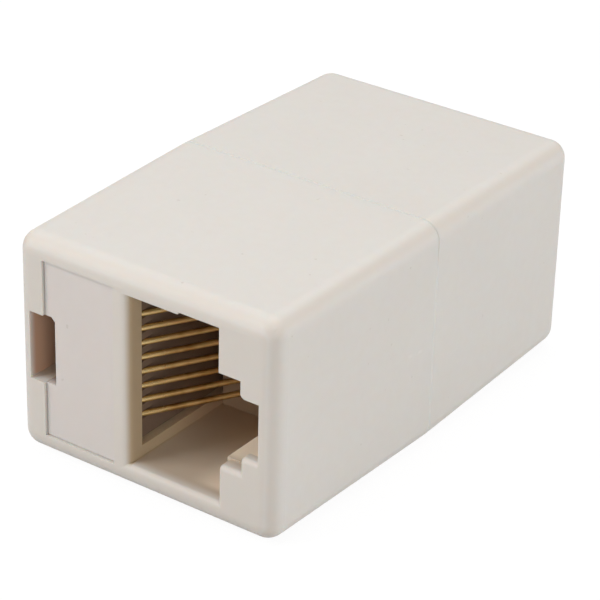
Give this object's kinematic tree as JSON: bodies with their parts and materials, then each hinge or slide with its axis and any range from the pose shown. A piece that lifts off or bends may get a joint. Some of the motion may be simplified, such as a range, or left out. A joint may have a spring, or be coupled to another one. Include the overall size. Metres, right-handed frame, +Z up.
{
  "type": "rj45 inline coupler",
  "caption": "Straight inline coupler that joins two modular network plugs end to end: two drafted shells on a contact carrier, with a latched socket in each end.",
  "frame": {"origin": "under the middle of the seam between the two half shells, at the height of the lowest edge", "axes": "+Z up, Y along the coupler from the near socket to the far one, +X towards the near socket's latch side"},
  "size_m": [0.0206, 0.0334, 0.0157],
  "materials": {
    "case_plastic": "fine satin moulded ivory",
    "carrier_plastic": "fine satin moulded ivory",
    "contact_gold": "gold-plated spring wire"
  },
  "bodies": {
    "root": {"front_shell": "case_plastic", "rear_shell": "case_plastic", "contact_carrier": "carrier_plastic", "contact_wire_1": "contact_gold", "contact_wire_2": "contact_gold", "contact_wire_3": "contact_gold", "contact_wire_4": "contact_gold", "contact_wire_5": "contact_gold", "contact_wire_6": "contact_gold", "contact_wire_7": "contact_gold", "contact_wire_8": "contact_gold"}
  },
  "joints": []
}
